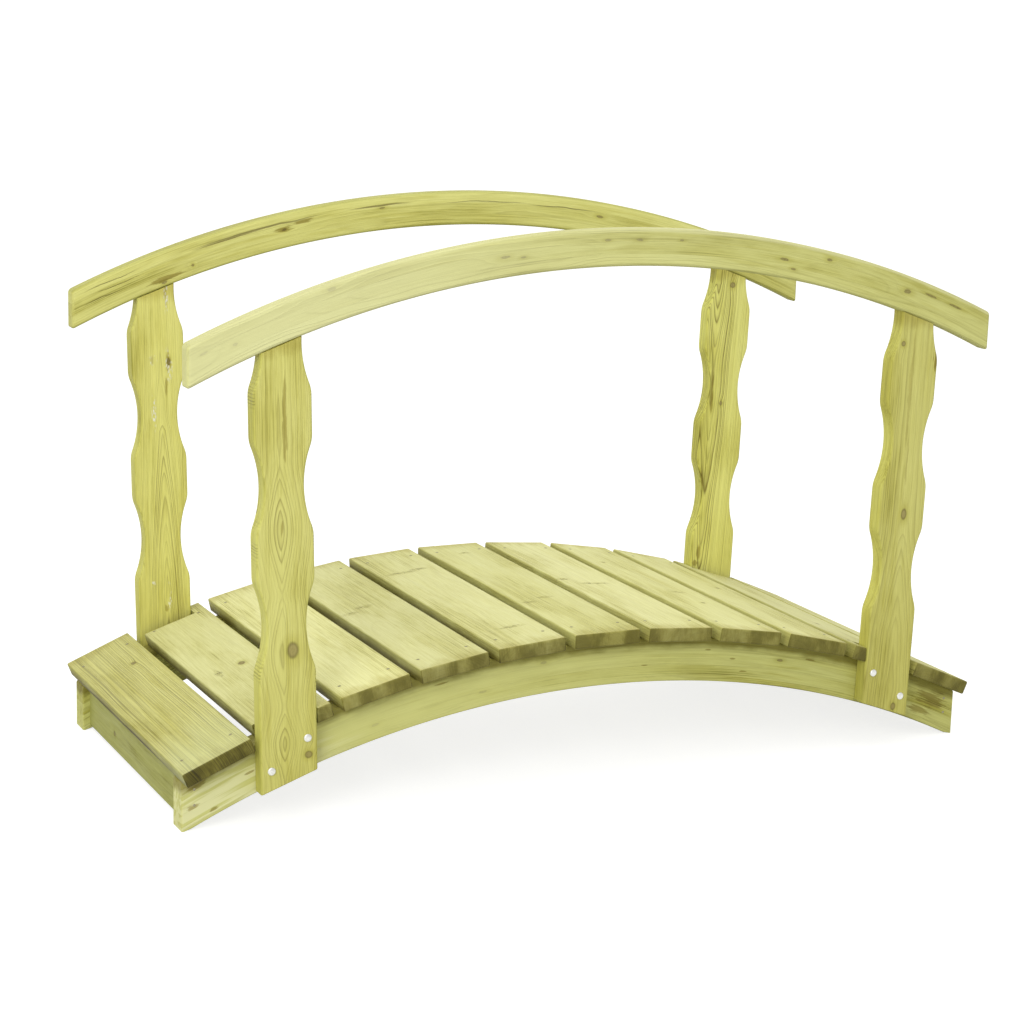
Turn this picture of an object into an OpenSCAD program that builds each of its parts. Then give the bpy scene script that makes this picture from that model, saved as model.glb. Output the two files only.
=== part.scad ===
// Arched wooden garden bridge: two laminated arch beams carry a deck of flat boards, four scalloped posts
// are bolted to the beams' outer faces, and a bowed handrail sits on each pair of posts.
// X runs along the bridge with the front end at -X, the left side is at +Y, and the ground is at Z = 0.
// All lengths are in millimetres and all angles in degrees.

/* [Beams] */
// Length of an arch beam between its plumb ends
beam_length = 1680; // [1600:10:1760]
// Height of the beam's underside above the ground at mid span
arch_rise = 189; // [170:1:210]
// Depth of the beam, square to its curve
beam_depth = 88; // [80:1:100]
// Thickness of the beam from side to side
beam_thickness = 50; // [40:1:60]
// Length of the level foot at each end of the beam
foot_length = 12; // [8:1:24]

/* [Deck] */
// Length of a deck board, which is the width of the deck
board_length = 760; // [700:5:800]
// Width of a deck board along the bridge
board_width = 140; // [132:1:146]
// Thickness of a deck board
board_thickness = 28; // [22:1:34]
// Radius of a deck board's rounded edges
board_edge = 3; // [1:0.5:8]
// Reach of the board ends past the beams' outer faces
board_overhang = 34; // [20:1:40]
// Reach of the end boards past the beam ends
nose_overhang = 10; // [4:1:16]
// Least gap left between neighbouring boards, which sets how many boards the deck takes
least_board_gap = 14; // [8:1:18]
// Play between a notched board and the post in its notch
notch_play = 2; // [1:0.5:4]

/* [Posts] */
// Full width of a post
post_width = 110; // [100:1:116]
// Thickness of a post
post_thickness = 34; // [28:1:45]
// Distance from the beam end to the post's centre line, at ground level
post_inset = 197; // [190:1:205]
// Outward lean of a post from the vertical
post_lean = 1.6; // [0:0.1:2.5]
// Height of the post's lower end above the beam's underside
post_foot_gap = 5; // [2:1:16]
// Spacing of the scallops along a post, counted down from its top
scallop_pitch = 256; // [230:1:270]
// Length of a scallop along the post's edge
scallop_length = 162; // [120:1:180]
// Depth of a scallop at its middle
scallop_depth = 17; // [10:1:22]
// Radius that eases the corners of a scallop
scallop_ease = 60; // [20:5:100]

/* [Handrails] */
// Length of a handrail between its plumb ends
rail_length = 1680; // [1600:10:1760]
// Height of the handrail's underside above the ground at mid span
rail_height = 1006; // [900:2:1060]
// Rise of the handrail's underside from its ends to mid span
rail_rise = 192; // [170:1:210]
// Depth of the handrail, square to its curve
rail_depth = 70; // [60:1:90]
// Thickness of the handrail from side to side
rail_thickness = 34; // [28:1:45]
// Width of the bevel that eases the handrail's long edges
rail_bevel = 4; // [1:0.5:8]

/* [Risers] */
// Thickness of a riser
riser_thickness = 20; // [16:1:28]
// Distance of the riser's outer face inside the beam ends
riser_setback = 14; // [6:1:24]
// Height of the riser's lower edge above the ground
riser_ground_gap = 10; // [4:1:20]
// Play between the riser and the end board above it
riser_top_play = 0.5; // [0.2:0.1:3]

/* [Hidden] */
// Sides of the small and of the large circles
$fn = 48;
large_fn = 720;

FRONT = -1;
BACK = 1;
RIGHT = -1;
LEFT = 1;

scallop_count = 3;

// Beam: an arc through the inner ends of both feet and the crown of the underside
foot_x = beam_length / 2 - foot_length;
beam_low_r = arc_radius(foot_x, arch_rise);
beam_top_r = beam_low_r + beam_depth;
beam_centre_z = arch_rise - beam_low_r;
beam_outer_y = board_length / 2 - board_overhang;
beam_inner_y = beam_outer_y - beam_thickness;

// Handrail: an arc through the lower corners of both ends and the crown of the underside
rail_low_r = arc_radius(rail_length / 2, rail_rise);
rail_centre_z = rail_height - rail_low_r;
post_middle_y = beam_outer_y + post_thickness / 2;

// Deck: flat boards laid tangent to the beams' upper arc, spread evenly between the two end boards
deck_r = beam_top_r + board_thickness;
end_board_angle = asin((beam_length / 2 + nose_overhang) / norm([deck_r, board_width / 2]))
    - atan(board_width / 2 / deck_r);
deck_arc = 2 * end_board_angle * PI / 180 * beam_top_r;
board_count = 1 + floor(deck_arc / (board_width + least_board_gap));

// Post: its axis leaves the ground at post_x and ends at the underside of the handrail
post_x = beam_length / 2 - post_inset;
post_length = axis_to_circle(post_x, post_lean, rail_centre_z, rail_low_r);

// Scallop: a hollow arc, joined to the straight edge by easing arcs on both sides
scallop_r = arc_radius(scallop_length / 2, scallop_depth);
scallop_out = scallop_r - scallop_depth;
ease_half = sqrt(pow(scallop_r + scallop_ease, 2) - pow(scallop_out + scallop_ease, 2));
ease_share = scallop_r / (scallop_r + scallop_ease);

// Riser: its upper edge meets the sloping underside of the end board at the riser's outer face
riser_x = beam_length / 2 - riser_setback;
riser_top_z = beam_centre_z + (beam_top_r - riser_x * sin(end_board_angle)) / cos(end_board_angle)
    - riser_top_play;

WOOD_BEAM = "#cfd08a";
WOOD_BOARD = "#c3c47c";
WOOD_POST = "#c9c671";
WOOD_RAIL = "#d6d79b";
WOOD_RISER = "#a9a45f";

// Radius of an arc from its half chord and its rise
function arc_radius(half, rise) = (half * half + rise * rise) / (2 * rise);

// Distance along a leaning axis, from the ground at x, to a circle that is centred at height centre_z
function axis_to_circle(x, lean, centre_z, r) =
    let (b = x * sin(lean) - centre_z * cos(lean), c = x * x + centre_z * centre_z - r * r)
    sqrt(b * b - c) - b;

function board_name(n) = str("deck_board_", n < 10 ? "0" : "", n);

// Lean of board n on the arch, from the front end board to the back one
function board_angle(n) = end_board_angle * (2 * (n - 1) / (board_count - 1) - 1);

// Stands a shape drawn in X and Z upright, centred at y, with the given thickness
module upright(y, thickness) {
    translate([0, y, 0])
        rotate([90, 0, 0])
            linear_extrude(height = thickness, center = true)
                children();
}

module rounded_rectangle(width, height, r) {
    square([width - 2 * r, height], center = true);
    square([width, height - 2 * r], center = true);
    for (x = [-1, 1], y = [-1, 1])
        translate([x * (width / 2 - r), y * (height / 2 - r)])
            circle(r = r);
}

// Side of an arch beam: an arc band above the ground, between the plumb ends
module beam_outline() {
    intersection() {
        translate([0, beam_centre_z])
            difference() {
                circle(r = beam_top_r, $fn = large_fn);
                circle(r = beam_low_r, $fn = large_fn);
            }
        translate([-beam_length / 2, 0])
            square([beam_length, arch_rise + beam_depth]);
    }
}

module beam(side) {
    color(WOOD_BEAM)
        upright(side * (beam_outer_y - beam_thickness / 2), beam_thickness)
            beam_outline();
}

module bevelled_rectangle(width, height, bevel) {
    w = width / 2;
    h = height / 2;
    polygon([
        [w, bevel - h], [w, h - bevel], [w - bevel, h], [bevel - w, h],
        [-w, h - bevel], [-w, bevel - h], [bevel - w, -h], [w - bevel, -h]
    ]);
}

// Handrail: a bevelled section swept along the rail's arc and cut plumb at both ends
module handrail(side) {
    sweep = 2 * asin((rail_length / 2 + rail_depth) / rail_low_r);
    color(WOOD_RAIL)
        translate([0, side * post_middle_y, 0])
            intersection() {
                translate([0, 0, rail_centre_z])
                    rotate([90, 0, 0])
                        rotate(90 - sweep / 2)
                            rotate_extrude(angle = sweep, $fn = large_fn)
                                translate([rail_low_r + rail_depth / 2, 0])
                                    bevelled_rectangle(rail_depth, rail_thickness, rail_bevel);
                translate([-rail_length / 2, -rail_thickness, 0])
                    cube([rail_length, 2 * rail_thickness, 2 * rail_height]);
            }
}

// What a scallop takes away from the right-hand edge of a plank, with its middle at the origin
module scallop_cut() {
    tangent = [scallop_out - (scallop_out + scallop_ease) * ease_share, ease_half * ease_share];
    difference() {
        union() {
            translate([scallop_out, 0])
                circle(r = scallop_r, $fn = large_fn);
            polygon([
                [0, ease_half], tangent, [tangent.x, -tangent.y], [0, -ease_half],
                [scallop_depth, -ease_half], [scallop_depth, ease_half]
            ]);
        }
        for (end = [-1, 1])
            translate([-scallop_ease, end * ease_half])
                circle(r = scallop_ease, $fn = large_fn);
    }
}

// Upright plank with scallops in both edges; it runs past both ends of the post
module post_plank() {
    difference() {
        translate([-post_width / 2, -post_width])
            square([post_width, post_length + 2 * post_width]);
        for (edge = [0, 1], k = [0 : scallop_count - 1])
            mirror([edge, 0])
                translate([post_width / 2, post_length - k * scallop_pitch])
                    scallop_cut();
    }
}

// Side of a post: the leaning plank, cut to the beam's curve below and to the handrail's above
module post_outline(end) {
    intersection() {
        translate([end * post_x, 0])
            rotate(-end * post_lean)
                post_plank();
        difference() {
            translate([0, rail_centre_z])
                circle(r = rail_low_r, $fn = large_fn);
            translate([0, beam_centre_z])
                circle(r = beam_low_r + post_foot_gap, $fn = large_fn);
        }
    }
}

module post(end, side) {
    color(WOOD_POST)
        upright(side * post_middle_y, post_thickness)
            post_outline(end);
}

// Space that a post and its play take from the deck
module post_room(end, side) {
    upright(side * (post_middle_y + post_thickness / 2), 2 * (post_thickness + notch_play))
        translate([end * post_x, 0])
            rotate(-end * post_lean)
                translate([-post_width / 2 - notch_play, 0])
                    square([post_width + 2 * notch_play, post_length / 2]);
}

module deck_board(n) {
    color(WOOD_BOARD)
        difference() {
            translate([0, 0, beam_centre_z])
                rotate([0, board_angle(n), 0])
                    translate([0, 0, beam_top_r + board_thickness / 2])
                        upright(0, board_length)
                            rounded_rectangle(board_width, board_thickness, board_edge);
            for (end = [FRONT, BACK], side = [RIGHT, LEFT])
                post_room(end, side);
        }
}

module riser(end) {
    color(WOOD_RISER)
        translate([end * (riser_x - riser_thickness / 2), 0, (riser_ground_gap + riser_top_z) / 2])
            cube([riser_thickness, 2 * beam_inner_y, riser_top_z - riser_ground_gap], center = true);
}

beam(RIGHT);  // right_beam
beam(LEFT);  // left_beam
handrail(RIGHT);  // right_handrail
handrail(LEFT);  // left_handrail
post(FRONT, RIGHT);  // front_right_post
post(BACK, RIGHT);  // back_right_post
post(FRONT, LEFT);  // front_left_post
post(BACK, LEFT);  // back_left_post
riser(FRONT);  // front_riser
riser(BACK);  // back_riser
for (n = [1 : board_count])
    deck_board(n);
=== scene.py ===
"""Looks of the arched garden bridge: treated pine with grain, knots and end grain, and its bolts and screws.

Lengths are in metres, in the CAD frame: X along the bridge, the right side at -Y, the ground at Z = 0.
A piece of timber has its own coordinates: across its width, along its grain and through its thickness.
"""
import dataclasses
import math

import bpy
from mathutils import Matrix, Vector


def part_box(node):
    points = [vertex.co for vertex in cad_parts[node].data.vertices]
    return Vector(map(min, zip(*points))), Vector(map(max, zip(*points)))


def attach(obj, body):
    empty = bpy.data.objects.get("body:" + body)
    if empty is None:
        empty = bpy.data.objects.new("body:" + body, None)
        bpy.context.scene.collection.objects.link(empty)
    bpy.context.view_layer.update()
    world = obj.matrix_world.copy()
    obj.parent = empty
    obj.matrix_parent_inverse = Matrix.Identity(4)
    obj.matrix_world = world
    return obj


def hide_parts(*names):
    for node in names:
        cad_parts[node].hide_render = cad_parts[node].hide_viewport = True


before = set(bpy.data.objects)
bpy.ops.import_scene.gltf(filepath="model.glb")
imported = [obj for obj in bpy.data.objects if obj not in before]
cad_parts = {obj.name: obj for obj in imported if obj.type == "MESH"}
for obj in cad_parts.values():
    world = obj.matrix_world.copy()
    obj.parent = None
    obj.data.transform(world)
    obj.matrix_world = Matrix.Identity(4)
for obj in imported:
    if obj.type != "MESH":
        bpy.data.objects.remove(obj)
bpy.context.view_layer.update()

FRONT, BACK = -1, 1
RIGHT, LEFT = -1, 1
SIDES = {"right": RIGHT, "left": LEFT}
ENDS = {"front": FRONT, "back": BACK}
BOARDS = 11
NOTCHED_BOARD = 2

# Sizes that the frame's boxes don't give by themselves
BEAM_DEPTH = 0.088
FOOT_LENGTH = 0.012
RAIL_DEPTH = 0.070
NOSE_OVERHANG = 0.010
NOTCH_PLAY = 0.002
POST_INSET = 0.197
POST_LEAN = math.radians(1.6)
POST_WIDTH = 0.110
POST_FOOT_GAP = 0.005
SCALLOP_PITCH = 0.256
SCALLOP_LENGTH = 0.162
SCALLOP_DEPTH = 0.017
SCALLOP_EASE = 0.060
SCALLOPS = 3

# Fasteners
BOLT_HEAD_R, BOLT_HEAD_RISE, BOLT_HEAD_STEPS = 0.0078, 0.0042, 6
BOLT_R, BOLT_PITCH, BOLT_END = 0.004, 0.00125, 0.006
NUT_R, NUT_HEIGHT, NUT_CONE = 0.0075, 0.0065, 0.0009
NUT_LAP, NUT_CROWN, NUT_DIP = 0.0004, 0.0002, 0.0008
WASHER_R, WASHER_THICKNESS = 0.0100, 0.0016
SCREW_R, SCREW_RISE = 0.0027, 0.0004
STAR_R, STAR_WAVE, STAR_POINTS = 0.0015, 0.0003, 6
ROUND_STEPS = 24
SCRATCH_RELIEF = 0.00006
# How far a fastener reaches into the wood under it
SUNK = 0.001
# Post bolts as the place along the bridge, outward from the post's axis, and the height
POST_BOLTS = ((0.038, 0.107), (-0.031, 0.163))
# Deck screws: the place across a board, where it crosses a beam
DECK_SCREW_ACROSS = 0.050
# Riser screws: the place in from the beam's end, and the heights
RISER_SCREW_IN = 0.024
RISER_SCREW_HEIGHTS = (0.048, 0.078)

# Rounding of the planed edges
BOARD_EDGE = 0.003
RAIL_EDGE = 0.006
BEAM_EDGE = 0.003
POST_EDGE = 0.0045
POST_FOOT_EDGE = 0.002
RISER_EDGE = 0.002
LEAST_EDGE = 0.0002
CAP_RIM = 0.0015
EDGE_STEPS = 4
QUARTER = [math.pi / 2 * k / EDGE_STEPS for k in range(EDGE_STEPS + 1)]
TIMBER_SHARP = math.radians(50)
STEEL_SHARP = math.radians(35)
ARCH_SPANS = 120
POST_SPANS, POST_ROUNDS = 200, 3


def arc_radius(half, rise):
    """Radius of an arc from its half chord and its rise."""
    return (half * half + rise * rise) / (2 * rise)


class Arch:
    """A band between two arcs about one centre, cut plumb at both ends."""

    def __init__(self, node, depth, foot):
        low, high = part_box(node)
        rise = high[2] - depth - low[2]
        self.half = high[0]
        self.depth = depth
        self.thickness = high[1] - low[1]
        self.low_r = arc_radius(self.half - foot, rise)
        self.mid_r = self.low_r + depth / 2
        self.top_r = self.low_r + depth
        self.centre_z = high[2] - self.top_r
        self.floor_z = low[2]


beam_arch = Arch("right_beam", BEAM_DEPTH, FOOT_LENGTH)
rail_arch = Arch("right_handrail", RAIL_DEPTH, 0.0)

board_low, board_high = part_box("deck_board_06")
board_width = board_high[0] - board_low[0]
board_length = board_high[1] - board_low[1]
board_thickness = board_high[2] - board_low[2]
deck_r = beam_arch.top_r + board_thickness
end_board_angle = (
    math.asin((beam_arch.half + NOSE_OVERHANG) / math.hypot(deck_r, board_width / 2))
    - math.atan(board_width / 2 / deck_r)
)

beam_inner_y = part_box("left_beam")[0][1]
beam_outer_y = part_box("left_beam")[1][1]
beam_middle_y = (beam_inner_y + beam_outer_y) / 2
post_outer_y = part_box("front_left_post")[1][1]
post_middle_y = (beam_outer_y + post_outer_y) / 2
post_thickness = post_outer_y - beam_outer_y
post_x = beam_arch.half - POST_INSET


# Meshes: every timber is a rounded section swept through stations, with eased ends

def rounded_section(width, depth, edge):
    """Points round a rectangle with rounded corners, each held by a point on the flat at either side."""
    edge = max(edge, LEAST_EDGE)
    hold = min(CAP_RIM, edge)
    points = []
    for k, (sx, sy) in enumerate(((1, 1), (-1, 1), (-1, -1), (1, -1))):
        cx, cy = sx * (width / 2 - edge), sy * (depth / 2 - edge)
        start = math.pi / 2 * k
        turns = [start + turn for turn in QUARTER]
        corner = [(cx + edge * math.cos(t), cy + edge * math.sin(t)) for t in turns]
        before = (corner[0][0] + hold * math.sin(start), corner[0][1] - hold * math.cos(start))
        after = (corner[-1][0] - hold * math.cos(start), corner[-1][1] - hold * math.sin(start))
        points += [before] + corner + [after]
    return points


def eased_end(edge):
    """Stations of one rounded end as pairs: how far short of the end, and how much smaller the section is."""
    stations = [(edge * (1 - math.sin(t)), edge * (1 - math.cos(t))) for t in QUARTER]
    return [(edge + CAP_RIM, 0.0), *stations, (0.0, edge + CAP_RIM)]


def ring_faces(start, rings):
    """Faces between equal rings of points, numbered from a start, with a flat face at either end."""
    count = len(rings[0])
    last = start + count * (len(rings) - 1)
    faces = [tuple(reversed(range(start, start + count)))]
    for a in range(start, last, count):
        for i in range(count):
            j = (i + 1) % count
            faces.append((a + i, a + j, a + count + j, a + count + i))
    faces.append(tuple(range(last, last + count)))
    return faces


def ringed_mesh(name, bodies, sharp_angle=TIMBER_SHARP):
    """Mesh of closed bodies, each given as its rings of points."""
    points, faces = [], []
    for rings in bodies:
        faces += ring_faces(len(points), rings)
        points += [p for ring in rings for p in ring]
    mesh = bpy.data.meshes.new(name)
    mesh.from_pydata(points, [], faces)
    mesh.validate()
    mesh.shade_smooth()
    mesh.set_sharp_from_angle(angle=sharp_angle)
    return mesh


def arch_mesh(name, arch, y, edge):
    """Bowed timber: the section follows the arc, and each end is cut plumb and eased."""
    inner = arch.half - edge - CAP_RIM
    ends = eased_end(edge)[1:]
    rings = []

    def ring(x_of_radius, inset):
        section = rounded_section(arch.thickness - 2 * inset, arch.depth - 2 * inset, edge - inset)
        points = []
        for v, u in section:
            r = arch.mid_r + u
            x = x_of_radius(r)
            z = arch.centre_z + math.sqrt(r * r - x * x)
            points.append((x, y + v, max(z, arch.floor_z)))
        rings.append(points)

    for short, inset in reversed(ends):
        ring(lambda r: short - arch.half, inset)
    for k in range(ARCH_SPANS + 1):
        share = -1 + 2 * k / ARCH_SPANS
        ring(lambda r: r * math.sin(share * math.asin(inner / r)), 0.0)
    for short, inset in ends:
        ring(lambda r: arch.half - short, inset)
    return ringed_mesh(name, [rings])


def plank_mesh(name, place, width, length, thickness, edge):
    """Straight timber in a frame of its own, whose X, Y and Z are its width, its length and its thickness."""
    ends = eased_end(edge)
    stations = [(short - length / 2, inset) for short, inset in reversed(ends)]
    stations += [(length / 2 - short, inset) for short, inset in ends]
    rings = []
    for along, inset in stations:
        section = rounded_section(width - 2 * inset, thickness - 2 * inset, edge - inset)
        rings.append([place @ Vector((u, along, w)) for u, w in reversed(section)])
    return ringed_mesh(name, [rings])


def board_matrix(n):
    """Place of deck board n: its X runs across it, its Y along it, and its Z out of its upper face."""
    angle = end_board_angle * (2 * (n - 1) / (BOARDS - 1) - 1)
    centre = Matrix.Translation((0, 0, beam_arch.centre_z))
    lift = Matrix.Translation((0, 0, deck_r - board_thickness / 2))
    return centre @ Matrix.Rotation(angle, 4, "Y") @ lift


def board_mesh(name, n):
    return plank_mesh(name, board_matrix(n), board_width, board_length, board_thickness, BOARD_EDGE)


def placed(name, data):
    """A new object of the data, put into the scene."""
    thing = bpy.data.objects.new(name, data)
    bpy.context.scene.collection.objects.link(thing)
    return thing


def cut_mesh(mesh, cutters):
    """The mesh with the cutters' room taken away."""
    blank = placed("blank", mesh)
    tools = [placed(cutter.name, cutter) for cutter in cutters]
    for tool in tools:
        cut = blank.modifiers.new(tool.name, "BOOLEAN")
        cut.operation = "DIFFERENCE"
        cut.solver = "EXACT"
        cut.object = tool
    made = bpy.data.meshes.new_from_object(blank.evaluated_get(bpy.context.evaluated_depsgraph_get()))
    made.set_sharp_from_angle(angle=TIMBER_SHARP)
    for thing in [blank] + tools:
        bpy.data.objects.remove(thing)
    return made


def post_axes(end):
    """The post's directions across and along, as X and Z pairs."""
    sine, cosine = math.sin(POST_LEAN), math.cos(POST_LEAN)
    return (cosine, -end * sine), (end * sine, cosine)


def post_reach(end, across, centre_z, radius):
    """Distance along the post, at a place across it, up to a circle centred over the bridge's middle."""
    (ux, uz), (ax, az) = post_axes(end)
    x, z = end * post_x + across * ux, across * uz - centre_z
    b = x * ax + z * az
    return math.sqrt(b * b - (x * x + z * z - radius * radius)) - b


def post_place(end, side):
    """Place of a post: its X runs across it, its Y up along it, and its Z through it."""
    (ux, uz), (ax, az) = post_axes(end)
    across, along = Vector((ux, 0, uz)), Vector((ax, 0, az))
    turn = Matrix((across, along, across.cross(along))).transposed()
    return Matrix.Translation((end * post_x, side * post_middle_y, 0)) @ turn.to_4x4()


post_length = post_reach(BACK, 0.0, rail_arch.centre_z, rail_arch.low_r)
scallop_r = arc_radius(SCALLOP_LENGTH / 2, SCALLOP_DEPTH)
scallop_out = scallop_r - SCALLOP_DEPTH
ease_half = math.sqrt((scallop_r + SCALLOP_EASE) ** 2 - (scallop_out + SCALLOP_EASE) ** 2)
ease_start = ease_half * scallop_r / (scallop_r + SCALLOP_EASE)


def post_half_width(along):
    """Half the post's width: full between the scallops, with eased corners where a scallop starts."""
    cut = 0.0
    for k in range(SCALLOPS):
        d = abs(along - (post_length - k * SCALLOP_PITCH))
        if d <= ease_start:
            cut = math.sqrt(scallop_r ** 2 - d * d) - scallop_out
        elif d < ease_half:
            cut = SCALLOP_EASE - math.sqrt(SCALLOP_EASE ** 2 - (ease_half - d) ** 2)
    return POST_WIDTH / 2 - cut


def post_mesh(name, end, side):
    """Scalloped plank, cut to the beam's curve below and to the handrail's curve above."""
    (ux, uz), (ax, az) = post_axes(end)
    foot_r = beam_arch.low_r + POST_FOOT_GAP
    rings = []

    def along_at(across, share, lift):
        low = post_reach(end, across, beam_arch.centre_z, foot_r)
        high = post_reach(end, across, rail_arch.centre_z, rail_arch.low_r)
        return low * (1 - share) + high * share + lift

    def ring(share, lift, inset):
        half = post_half_width(along_at(0.0, share, lift))
        points = []
        for u, v in rounded_section(2 * (half - inset), post_thickness - 2 * inset, POST_EDGE - inset):
            across = u
            for _ in range(POST_ROUNDS):
                along = along_at(across, share, lift)
                across = u * post_half_width(along) / half
            x = end * post_x + across * ux + along * ax
            points.append((x, side * post_middle_y - v, across * uz + along * az))
        rings.append(points)

    for short, inset in reversed(eased_end(POST_FOOT_EDGE)):
        ring(0.0, short, inset)
    for k in range(1, POST_SPANS + 1):
        ring(k / POST_SPANS, 0.0, 0.0)
    return ringed_mesh(name, [rings])


def notched_board_mesh(name, n, end):
    """Deck board with a notch at both ends for the posts, which leave a little play."""
    reach = post_thickness + NOTCH_PLAY
    half = POST_WIDTH / 2 + NOTCH_PLAY
    corners = ((half, -reach), (-half, -reach), (-half, reach), (half, reach))
    rooms = []
    for side in (RIGHT, LEFT):
        place = post_place(end, side)
        rings = [[place @ Vector((u, along, w)) for u, w in corners] for along in (0.0, post_length / 2)]
        rooms.append(ringed_mesh(f"post_room_{side}", [rings]))
    return cut_mesh(board_mesh(name, n), rooms)


# Shader graphs

def reckoned(operation, swapped=False):
    """An operator of Value, which makes a math node."""
    def operator(self, *others):
        values = (self, *others)
        return self.graph.math(operation, *(reversed(values) if swapped else values))
    return operator


class Value:
    """What a shader node gives. Sums, products and powers of it are nodes too."""
    __add__ = __radd__ = reckoned("ADD")
    __sub__ = reckoned("SUBTRACT")
    __rsub__ = reckoned("SUBTRACT", swapped=True)
    __mul__ = __rmul__ = reckoned("MULTIPLY")
    __truediv__ = reckoned("DIVIDE")
    __pow__ = reckoned("POWER")
    __abs__ = reckoned("ABSOLUTE")

    def __init__(self, graph, socket):
        self.graph = graph
        self.socket = socket


class Graph:
    """Shader nodes of a material or a world, under short names."""

    def __init__(self, owner):
        owner.use_nodes = True
        self.owner = owner
        self.tree = owner.node_tree
        self.tree.nodes.clear()

    def node(self, kind, inputs, **settings):
        """A node whose inputs, named or numbered, take values or plain numbers."""
        made = self.tree.nodes.new(kind)
        for key, setting in settings.items():
            setattr(made, key, setting)
        for key, given in inputs.items():
            if isinstance(given, Value):
                self.tree.links.new(given.socket, made.inputs[key])
            else:
                made.inputs[key].default_value = given
        return made

    def value(self, kind, inputs, out=0, **settings):
        return Value(self, self.node(kind, inputs, **settings).outputs[out])

    def math(self, operation, *values):
        return self.value("ShaderNodeMath", dict(enumerate(values)), operation=operation)

    def most(self, a, b):
        return self.math("MAXIMUM", a, b)

    def least(self, a, b):
        return self.math("MINIMUM", a, b)

    def bell(self, off):
        """A bell curve: 1 where off is 0, and next to nothing from 2 on."""
        return self.math("EXPONENT", off * off * -1.0)

    def vector(self, operation, *values, out=0):
        return self.value("ShaderNodeVectorMath", dict(enumerate(values)), out, operation=operation)

    def split(self, vector):
        return [Value(self, part) for part in self.node("ShaderNodeSeparateXYZ", {0: vector}).outputs]

    def join(self, x, y, z):
        return self.value("ShaderNodeCombineXYZ", {0: x, 1: y, 2: z})

    def noise(self, vector, stretch, detail=2.0, roughness=0.5, out="Fac"):
        """Noise from 0 to 1 in cells of 1 / stretch metres."""
        cells = self.vector("MULTIPLY", vector, stretch)
        inputs = {"Vector": cells, "Scale": 1.0, "Detail": detail, "Roughness": roughness}
        return self.value("ShaderNodeTexNoise", inputs, out)

    def noise_line(self, place, detail=1.0):
        inputs = {"W": place, "Scale": 1.0, "Detail": detail}
        return self.value("ShaderNodeTexNoise", inputs, "Fac", noise_dimensions="1D")

    def chance(self, number):
        """An even random number from 0 to 1 for each whole number."""
        return self.value("ShaderNodeTexWhiteNoise", {"W": number}, "Value", noise_dimensions="1D")

    def smooth(self, place, low, high, to_low=0.0, to_high=1.0):
        """A soft step from one level, where the place is low, to another, where it is high."""
        inputs = dict(enumerate((place, low, high, to_low, to_high)))
        return self.value("ShaderNodeMapRange", inputs, interpolation_type="SMOOTHSTEP")

    def ramp(self, place, stops, interpolation="LINEAR"):
        """A curve through pairs of place and level."""
        made = self.node("ShaderNodeValToRGB", {0: place})
        made.color_ramp.interpolation = interpolation
        points = made.color_ramp.elements
        while len(points) < len(stops):
            points.new(1.0)
        for point, (at, level) in zip(points, stops):
            point.position = at
            point.color = (level, level, level, 1.0)
        return Value(self, made.outputs[0])

    def mix(self, share, a, b, blend="MIX"):
        a, b = (c if isinstance(c, Value) else (*c, 1.0) for c in (a, b))
        return self.value("ShaderNodeMix", {0: share, 6: a, 7: b}, 2, data_type="RGBA", blend_type=blend)

    def toned(self, share, colour, tone):
        """The colour, multiplied by a tone in the given share."""
        return self.mix(share, colour, tone, blend="MULTIPLY")

    def tint(self, shade):
        """Colour that shades the wood: darker is also more olive."""
        return self.join(shade, shade ** 1.05, shade ** 1.7)

    def position(self):
        return self.value("ShaderNodeTexCoord", {}, "Object")

    def facing(self, axis):
        """1 where the surface faces along an axis, either way, and 0 where it doesn't."""
        normal = self.value("ShaderNodeNewGeometry", {}, "Normal")
        return self.smooth(abs(self.vector("DOT_PRODUCT", normal, axis, out=1)), 0.12, 0.62)

    def finish(self, colour, roughness, height, relief, others):
        """Ends the material in a Principled shader. Height from 0 to 1 becomes relief of that many metres."""
        bump = self.value("ShaderNodeBump", {"Strength": 1.0, "Distance": relief, "Height": height})
        inputs = {"Base Color": colour, "Roughness": roughness, "Normal": bump, **others}
        self.node("ShaderNodeOutputMaterial", {0: self.value("ShaderNodeBsdfPrincipled", inputs)})
        return self.owner


# Coordinates of a timber: a vector of across, along and through, then where its ends and its edges are

def framed(place):
    """Straight timber whose X, Y and Z are across, along and through."""
    across_axis, along_axis, _ = place.to_3x3().transposed()

    def coordinates(g):
        inputs = {"Vector": g.position(), "Location": place.to_translation(), "Rotation": place.to_euler()}
        spot = g.value("ShaderNodeMapping", inputs, vector_type="TEXTURE")
        return spot, g.facing(along_axis), g.facing(across_axis)
    return coordinates


def bowed(arch, y):
    """Timber that follows an arch: across is outward from its middle, along is the way round the arc."""
    def coordinates(g):
        x, py, z = g.split(g.position())
        up = z - arch.centre_z
        radius = g.math("SQRT", x * x + up * up)
        along = g.math("ARCTAN2", x, up) * arch.mid_r
        return g.join(radius - arch.mid_r, along, py - y), g.facing((1, 0, 0)), g.facing((0, 0, 1))
    return coordinates


# How far a timber's seed and the chance of a layer move its noise
SEED_MOVES = (2.3, 1.7, 0.9)
LAYER_SEED, LAYER_MOVE = 3.1, 7.0


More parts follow.
